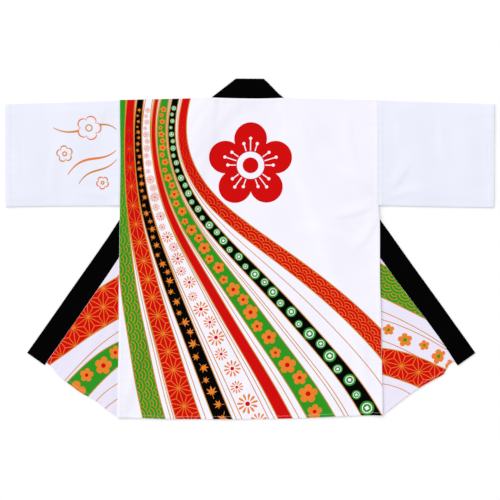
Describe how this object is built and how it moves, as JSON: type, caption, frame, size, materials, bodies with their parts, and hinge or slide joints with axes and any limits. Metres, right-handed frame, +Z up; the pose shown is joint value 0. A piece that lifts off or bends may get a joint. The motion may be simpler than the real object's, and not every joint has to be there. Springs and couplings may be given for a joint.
{
  "type": "happi coat",
  "caption": "Short, wide-sleeved festival coat of white cotton with a black collar band, laid flat with its back up and its open fronts turned out to the sides under it.",
  "frame": {"origin": "middle of the coat's footprint, on the surface it lies on", "axes": "+X to the right-hand sleeve as seen from above, +Y towards the neck, +Z up out of the coat's back"},
  "size_m": [1.3, 0.903, 0.0071],
  "materials": {
    "white_cotton": "plain-woven cotton, matt",
    "black_cotton": "plain-woven cotton, matt"
  },
  "bodies": {
    "root": {"back": "white_cotton", "front_left": "white_cotton", "front_right": "white_cotton", "sleeve_left": "white_cotton", "sleeve_right": "white_cotton", "collar": "black_cotton"}
  },
  "joints": []
}
